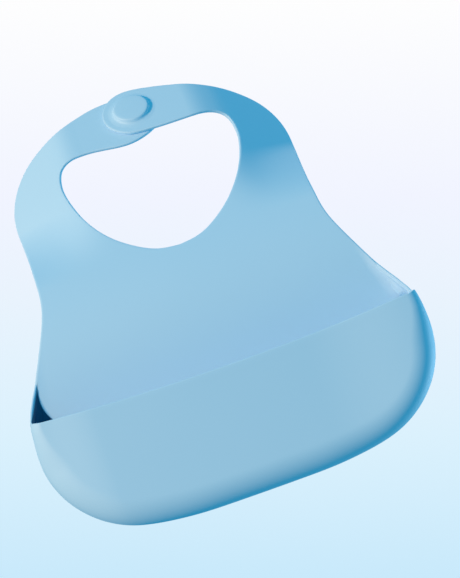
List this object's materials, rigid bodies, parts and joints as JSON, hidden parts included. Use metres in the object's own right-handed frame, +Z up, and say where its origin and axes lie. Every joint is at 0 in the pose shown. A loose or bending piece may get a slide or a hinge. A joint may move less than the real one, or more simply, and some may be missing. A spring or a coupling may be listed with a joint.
{
  "type": "silicone feeding bib",
  "caption": "Soft bib with a bent-back chest panel, a crumb-catching pocket along the lower edge and neck straps closed by a raised button and stud.",
  "frame": {"origin": "centre of the neck opening, midway through the sheet", "axes": "+Z up along the bib's middle line, parallel to the flat back of the pocket; +Y toward the wearer, -Y the front; +X toward the strap that laps over the other"},
  "size_m": [0.2296, 0.1462, 0.261],
  "materials": {
    "silicone": "soft matte"
  },
  "bodies": {
    "bib": {"chest_panel": "silicone", "catch_pocket": "silicone", "left_pocket_gusset": "silicone", "right_pocket_gusset": "silicone"},
    "right_strap": {"right_shoulder_strap": "silicone"},
    "right_end": {"right_strap_end": "silicone", "snap_button": "silicone", "snap_stud": "silicone"},
    "left_strap": {"left_shoulder_strap": "silicone"},
    "left_end": {"left_strap_end": "silicone"}
  },
  "joints": [
    {"name": "right_strap_flex", "type": "hinge", "parent": "bib", "child": "right_strap", "pos_m": [0.067, 0.00911, -0.006], "axis": [0.7978, 0.6029, 0], "range_deg": [0, 75], "stiffness_Nm_per_rad": 0.08, "springref_deg": -8.59},
    {"name": "right_end_peel", "type": "hinge", "parent": "right_strap", "child": "right_end", "pos_m": [0.026, 0.03771, 0.056], "axis": [0, 0.5878, 0.809], "range_deg": [0, 90], "stiffness_Nm_per_rad": 0.02, "springref_deg": -8.59},
    {"name": "left_strap_flex", "type": "hinge", "parent": "bib", "child": "left_strap", "pos_m": [-0.0673, 0.01432, -0.006], "axis": [-0.8122, 0.5834, 0], "range_deg": [0, 45], "stiffness_Nm_per_rad": 0.08, "springref_deg": -8.59},
    {"name": "left_end_flex", "type": "hinge", "parent": "left_strap", "child": "left_end", "pos_m": [-0.026, 0.04279, 0.055], "axis": [0, 0.5878, 0.809], "range_deg": [0, 60], "stiffness_Nm_per_rad": 0.02, "springref_deg": -8.59}
  ]
}
